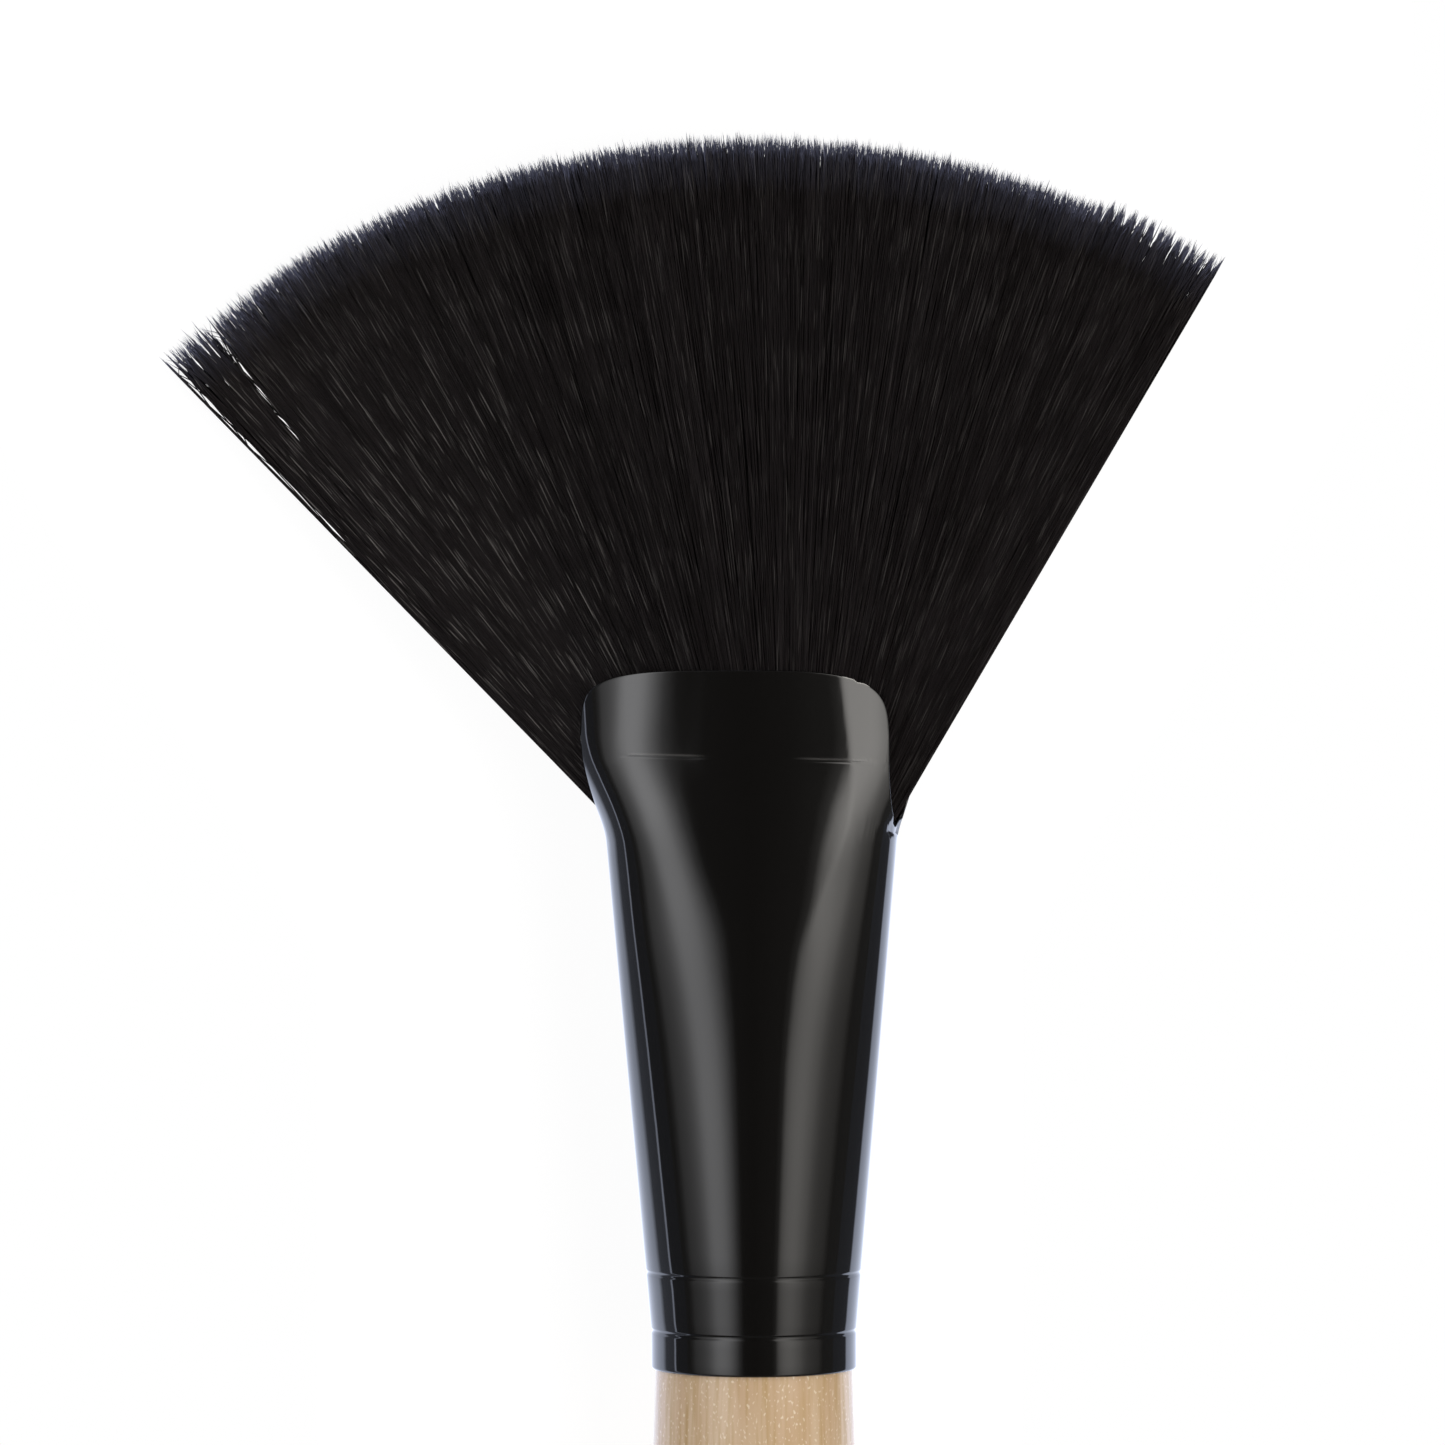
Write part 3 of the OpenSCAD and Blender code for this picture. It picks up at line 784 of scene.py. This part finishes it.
# The longest tips stand out past the fan's outline, and more so in the loose locks
tips_out, loose_out = 0.55, 0.6
angle = mix(-left_angle, right_angle, (g + 1) / 2)
lock_angle = mix(-left_angle, right_angle, (lock_at[lock] + 1) / 2)
apart = lock_apart[lock]
hold = draw.uniform(0.3, 0.8, count) + 0.2 * lock_loose[lock]
hold = mix(hold, draw.uniform(0.75, 1, count), apart)
pull = hold[:, None] * (cling + cling_apart * apart[:, None])
# Every hair wanders a little, and one in ten lies across its neighbours
wander = draw.normal(0, 0.0028, (count, 8)) * [1, 1.3, 1.2, 1, 0.8, 0.6, 0.5, 0.7]
crossing = draw.normal(0, np.radians(1.3), count) * (draw.uniform(0, 1, count) < 0.1)
slant = crossing[:, None] * np.concatenate([shares - 0.5, [0.3, 0.3, 0.3]])
angles = angle[:, None] + (lock_angle - angle)[:, None] * pull + wander + slant
# How much shorter each hair is than the longest, in mm: most at the sides of a lock, which
# makes its point, and at random where the hairs stand apart
short = np.maximum(draw.normal(0.6, 0.22, count), 0) + lock_short[lock]
short += (
    draw.uniform(0, 0.9, count) * apart + np.abs(off) * hold * (0.3 + 0.5 * lock_loose[lock])
)
tip_r = arc_distance(np.clip(angles[:, -1], -left_angle, right_angle)) + tips_out - short
tip_r += loose_out * lock_loose[lock]
start_r = (fan_from_s - centre_s) / np.cos(angle)
r = np.concatenate([mix(start_r[:, None], tip_r[:, None], shares), tip_r[:, None] - tip_drop], 1)

# Partings that open through the whole fan near the left edge, as [distances from the fan's
# centre, angles there in degrees, width in degrees]. Each hair stays on the side where its
# middle row is, but a few rows stray across.
partings = [
    ([36, 46, 62], [-43.8, -44.0, -44.0], 0.32),
    ([42, 45.7, 62], [-41.46, -41.05, -40.0], 0.3),
    ([54, 62], [-38.2, -38.2], 0.3),
]
stray_share = 0.025
parting_reach = np.radians(0.8)
middle_row = 4
ends_out, open_run, close_run = 2, 8, 3
for reach, at, width in partings:
    from_middle = angles - np.radians(np.interp(r, reach, at))
    stray = draw.uniform(0, 1, r.shape) < stray_share
    side = np.sign(from_middle[:, middle_row, None]) * np.where(stray, -1, 1)
    wide = np.radians(width) / 2 * ease((r - reach[0] + ends_out) / open_run)
    wide = wide * ease((reach[-1] + ends_out - r) / close_run)
    near = (np.abs(from_middle) < parting_reach) & (wide > 0)
    angles += np.where(near, side * np.maximum(side * from_middle, wide) - from_middle, 0)
edge_in = 0.05
angles = np.clip(angles, -left_angle + edge_in / r, right_angle - edge_in / r)

# The bundle's section is an ellipse in the tube and a slab with full, round ends in the fan
fan_x = centre_x + r * np.sin(angles)
fan_s = centre_s + r * np.cos(angles)
full_ends = np.maximum(1 - g * g, 0)[:, None] ** 0.2
depth = (fan_half_t(fan_x, fan_s, g[:, None]) - edge_in) * full_ends
fan_z = v[:, None] * depth
fan_z += draw.normal(0, 0.03, fan_z.shape)
fan_z = np.clip(fan_z, -depth, depth)
in_w = half_w(np.float64(root_s)) - wall - hair_gap
across = np.sqrt(np.maximum(1 - g * g, 0))
root_share, neck_share, root_up = 0.8, 0.92, 0.1
root = np.stack(
    [root_share * g * in_w, root_s + root_up + 0 * g, root_share * v * across * in_w], -1
)
neck_x = centre_x + (neck_s - centre_s) * np.tan(angle)
neck_z = v * (1 - g * g) * (half_t(np.float64(neck_s)) - wall - hair_gap) * neck_share
neck = np.stack([neck_x, neck_s + 0 * g, neck_z], -1)
paths = np.concatenate([root[:, None], neck[:, None], np.stack([fan_x, fan_s, fan_z], -1)], 1)
radii = np.full(paths.shape[:2], hair_r) * [1, 1, 1, 1, 1, 1, 1, 1, 0.9, 0]

# Shades of each row: lightness, painted paleness of the tip, and how bright the painted
# highlight strokes are. The hair is painted lighter, and its highlight strokes brighter, at
# the left, for how the light falls there, the strokes most of all low down.
base_light, tone_light, painted_left_light = 0.07, 0.035, 0.08
left_g, left_run = -0.1, 0.7
base_glint, left_glint, low_run = 0.12, 0.6, 25
light = base_light + tone_light * lock_tone[lock] + draw.exponential(0.05, count)[:, None]
# Painted light: the last rows of each hair turn pale towards the tip
pale = np.array([0, 0, 0, 0, 0, 0, 0, 0, 0.08, 1.0]) * draw.uniform(0.4, 1, count)[:, None]
leftwards = ease((left_g - g) / left_run)[:, None]
# Painted light: the left side of the fan lighter
light += painted_left_light * leftwards
# Painted highlight strokes: brighter at the left and low down
bright = left_glint * leftwards * ease((crown_s - paths[..., 1]) / low_run)
bright = base_glint + bright * draw.uniform(0, 1, count)[:, None]
# A painted highlight stroke is some three to four millimetres long and as wide as its own hair
glint_l = 4
length = np.linalg.norm(np.diff(paths, axis=1), axis=-1)
length = np.pad(np.cumsum(length, 1), ((0, 0), (1, 0)))
strand_u = draw.uniform(0, 4000, count)[:, None] + 0 * length
shade = np.stack([np.clip(light, 0, 1), pale, bright, 1 + 0 * pale], -1).astype(np.float32)
strand = np.stack([strand_u, length / glint_l], -1)
# Layers from the back to the front with as many hairs each
level = np.argsort(np.argsort(v)) * pieces // count
for n in range(pieces):
    own = level == n
    points, faces = spikes(paths[own], radii[own], draw.uniform(0, 2 * np.pi, own.sum()))
    hair = new_piece(f"hair_layer_{n + 1}", points, faces, nylon)
    # Each row's three corners have its values, and the tip has its own
    colours, uv = (
        np.concatenate([np.repeat(rows[own][:, :-1], 3, 1), rows[own][:, -1:]], 1)
        for rows in (shade, strand)
    )
    colours, uv = colours.reshape(len(points), -1), uv.reshape(len(points), -1)
    layer = hair.data.attributes.new("shade", "FLOAT_COLOR", "POINT")
    layer.data.foreach_set("color", colours.ravel())
    corners = np.concatenate([f.ravel() for f in faces])
    layer = hair.data.uv_layers.new(name="strand")
    layer.data.foreach_set("uv", uv[corners].ravel())
    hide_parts("hair_fan")

# ---------------------------------------------------------------------------------------
# Table and lights: a white table under two long curved softboxes that hang on either side
# of the camera, each soft at its inner edge and dimmer outwards, in a dark room
# ---------------------------------------------------------------------------------------
table_half = 3.0
table_drop = 5e-5
table_corners = ((-1, -1), (1, -1), (1, 1), (-1, 1))
table_mesh = bpy.data.meshes.new("table")
table_mesh.from_pydata(
    [(x * table_half, y * table_half, -table_drop) for x, y in table_corners],
    [], [(0, 1, 2, 3)],
)
table_paint, tree = new_material("white_table")
path = add(tree, "LightPath")
# The camera sees the table white, but for the brush's shadow
shown_glow, shown_matt = 0.92, 0.14
glow = add(tree, "Emission", {"Strength": shown_glow})
matt = add(tree, "BsdfDiffuse", {"Color": (shown_matt, shown_matt, shown_matt, 1)})
seen = add(tree, "AddShader", {0: glow.outputs[0], 1: matt.outputs[0]})


def levels(marks, tint):
    """Stops of a ramp for pairs of a place and a brightness, run from the first place to
    the last."""
    low, high = marks[0][0], marks[-1][0]
    colours = [(*(level * np.array(tint)).tolist(), 1) for _, level in marks]
    return [((at - low) / (high - low), colour) for (at, _), colour in zip(marks, colours)]


# Painted reflection: for glossy rays the table glows in a given pattern, by millimetres
# across, which the gloss lacquer mirrors: a lit strip under the brush, the dark beyond it
# and one more line at the left. All of it is brighter towards the handle, by metres along
# the table.
table_marks = [
    (-50, 0.05), (-32.5, 0.05), (-31, 0.95), (-28, 0.95), (-26.5, 0.15),
    (-14, 0.15), (-11, 0.75), (28, 0.75), (31, 0.06), (50, 0.06),
]
place = add(tree, "SeparateXYZ", {"Vector": add(tree, "TexCoord").outputs["Object"]})
across = add(tree, "MapRange", {
    "Value": place.outputs["X"],
    "From Min": table_marks[0][0] / 1000, "From Max": table_marks[-1][0] / 1000,
})
lit_y, lit_strength = (0.022, 0.06), (2.6, 1.9)
along = add(tree, "MapRange", {
    "Value": place.outputs["Y"], "From Min": lit_y[0], "From Max": lit_y[1],
    "To Min": lit_strength[0], "To Max": lit_strength[1],
})
mirrored = add(
    tree, "ValToRGB", {"Fac": across.outputs["Result"]},
    stops=levels(table_marks, (0.74, 0.81, 1.0)),
)
painted_reflection = add(
    tree, "Emission", {"Color": mirrored.outputs["Color"], "Strength": along.outputs["Result"]}
)
# The brush's shadow falls on a strip under it that widens along the fan. Beyond it the
# camera sees the table plain white
strip_y, strip_w = (0.045, 0.085), (0.022, 0.047)
strip = add(tree, "MapRange", {
    "Value": place.outputs["Y"], "From Min": strip_y[0], "From Max": strip_y[1],
    "To Min": strip_w[0], "To Max": strip_w[1],
})
side = add(tree, "Math", {0: place.outputs["X"]}, operation="ABSOLUTE")
near = add(tree, "Math", {0: side.outputs[0], 1: strip.outputs["Result"]}, operation="LESS_THAN")
beyond = add(tree, "Emission", {"Strength": 1.0})
seen = add(tree, "MixShader", {0: near.outputs[0], 1: beyond.outputs[0], 2: seen.outputs[0]})
plain = add(tree, "BsdfDiffuse", {"Color": (0.8, 0.8, 0.8, 1)})
other = add(
    tree, "MixShader",
    {0: path.outputs["Is Glossy Ray"], 1: plain.outputs[0], 2: painted_reflection.outputs[0]},
)
both = add(
    tree, "MixShader", {0: path.outputs["Is Camera Ray"], 1: other.outputs[0], 2: seen.outputs[0]}
)
add(tree, "OutputMaterial", {"Surface": both.outputs[0]})
# The light that the table shows isn't a lamp
table_paint.cycles.emission_sampling = "NONE"
table_mesh.materials.append(table_paint)
table = bpy.data.objects.new("table", table_mesh)
bpy.context.scene.collection.objects.link(table)

# The camera sees the room white, the lacquer mirrors it dark, and its own light is grey
room_light, room_mirrored = 0.42, 0.08
room = bpy.data.worlds.new("room")
bpy.context.scene.world = room
room.use_nodes = True
room.node_tree.nodes.clear()
tree = room.node_tree
path = add(tree, "LightPath")
white = add(tree, "Background", {"Color": (1, 1, 1, 1), "Strength": 1.0})
grey = add(tree, "Background", {"Color": (1, 1, 1, 1), "Strength": room_light})
dark = add(tree, "Background", {"Color": (1, 1, 1, 1), "Strength": room_mirrored})
dim = add(
    tree, "MixShader", {0: path.outputs["Is Glossy Ray"], 1: grey.outputs[0], 2: dark.outputs[0]}
)
shown = add(
    tree, "MixShader", {0: path.outputs["Is Camera Ray"], 1: dim.outputs[0], 2: white.outputs[0]}
)
add(tree, "OutputWorld", {"Surface": shown.outputs[0]})

panel_away = 450.0
panel_low, panel_high = -450.0, 600.0
panel_steps = 32
dim_from, dim_to, dim_share = -125.0, 0.0, 0.67


def softbox(name, marks, tint):
    """A diffuser curved round the brush, from the camera's line outwards, as bright as
    the marks say at each of their angles off that line (left is negative), and a little
    dimmer towards the handle's end."""
    share = np.linspace(0, 1, panel_steps + 1)
    angles = np.radians(mix(marks[0][0], marks[-1][0], share))
    x, z = panel_away * np.sin(angles), panel_away * np.cos(angles)
    points = [np.stack([x, s + 0 * x, z], -1) for s in (panel_low, panel_high)]
    i = np.arange(len(share) - 1)
    faces = np.stack([i, i + 1, i + 1 + len(share), i + len(share)], -1)
    mesh = bpy.data.meshes.new(name)
    mesh.from_pydata(laid_down(np.concatenate(points)).tolist(), [], faces.tolist())
    uv = np.concatenate([np.stack([share, 0 * share + v], -1) for v in (0, 1)])
    mesh.uv_layers.new(name="panel").data.foreach_set("uv", uv[faces.ravel()].ravel())
    material, tree = new_material(name)
    uv = add(tree, "SeparateXYZ", {"Vector": add(tree, "UVMap", uv_map="panel").outputs["UV"]})
    peak = max(level for _, level in marks)
    colour = add(
        tree, "ValToRGB", {"Fac": uv.outputs["X"]},
        stops=levels([(at, level / peak) for at, level in marks], tint),
    )
    ends = (np.array([dim_from, dim_to]) - panel_low) / (panel_high - panel_low)
    fall = add(tree, "MapRange", {
        "Value": uv.outputs["Y"], "From Min": ends[0], "From Max": ends[1],
        "To Min": dim_share * peak, "To Max": peak,
    })
    glow = add(
        tree, "Emission", {"Color": colour.outputs["Color"], "Strength": fall.outputs["Result"]}
    )
    add(tree, "OutputMaterial", {"Surface": glow.outputs[0]})
    mesh.materials.append(material)
    panel = bpy.data.objects.new(name, mesh)
    bpy.context.scene.collection.objects.link(panel)
    panel.visible_camera = False


softbox("softbox_left", [
    (0, 0), (-10, 0.02), (-12, 0.06), (-16, 0.4), (-20, 1.0), (-24, 1.6), (-28, 2.15),
    (-32, 2.43), (-36, 2.54), (-40, 2.48), (-44, 2.1), (-48, 1.55), (-52, 1.14), (-56, 0.88),
    (-60, 0.7), (-64, 0.58), (-68, 0.47), (-72, 0.22), (-76, 0.09),
], (0.98, 0.98, 1.0))
softbox("softbox_right", [
    (0, 0), (20, 0.04), (24, 0.2), (28, 1.25), (32, 1.76), (36, 2.0), (40, 2.07), (44, 1.95),
    (48, 1.66), (52, 1.4), (56, 1.03), (60, 0.77), (64, 0.61), (68, 0.52), (72, 0.44), (76, 0.37),
    (80, 0.2), (84, 0.07),
], (1.0, 0.97, 0.93))

# So few lights look the same without the light tree, and they render faster
bpy.context.scene.cycles.use_light_tree = False

# A fill light inside the right softbox: it lights the wood's right side, and the lacquer
# doesn't mirror it
fill_side = np.radians(50)
fill_away = 0.4
fill = bpy.data.lights.new("fill_right", "AREA")
fill.shape = "DISK"
fill.size = 0.2
fill.energy = 0.5
lamp = bpy.data.objects.new("fill_right", fill)
lamp.matrix_world = (
    Matrix.Rotation(float(fill_side), 4, "Y") @ Matrix.Translation((0, 0, fill_away))
)
lamp.visible_camera = lamp.visible_glossy = False
bpy.context.scene.collection.objects.link(lamp)

# ---------------------------------------------------------------------------------------
# Camera: square to the brush's front, as high above it as the curve of the rim asks for
# ---------------------------------------------------------------------------------------
camera_away = 415.0
view_w = 1445 / 16.4
view_x, view_s = -1.92, 39.36
eye, right, above, back = laid_down([
    [view_x, view_s, camera_away],
    [view_x + 1000, view_s, camera_away],
    [view_x, view_s + 1000, camera_away],
    [view_x, view_s, camera_away + 1000],
])
place = np.eye(4)
place[:3] = np.stack([right - eye, above - eye, back - eye, eye], -1)
camera_data = bpy.data.cameras.new("camera")
camera_data.sensor_width = 36
camera_data.lens = camera_data.sensor_width * camera_away / view_w
camera_data.clip_start, camera_data.clip_end = 0.01, 20
camera = bpy.data.objects.new("camera", camera_data)
camera.matrix_world = Matrix(place.tolist())
bpy.context.scene.collection.objects.link(camera)
bpy.context.scene.camera = camera
bpy.context.scene.view_settings.view_transform = "Standard"
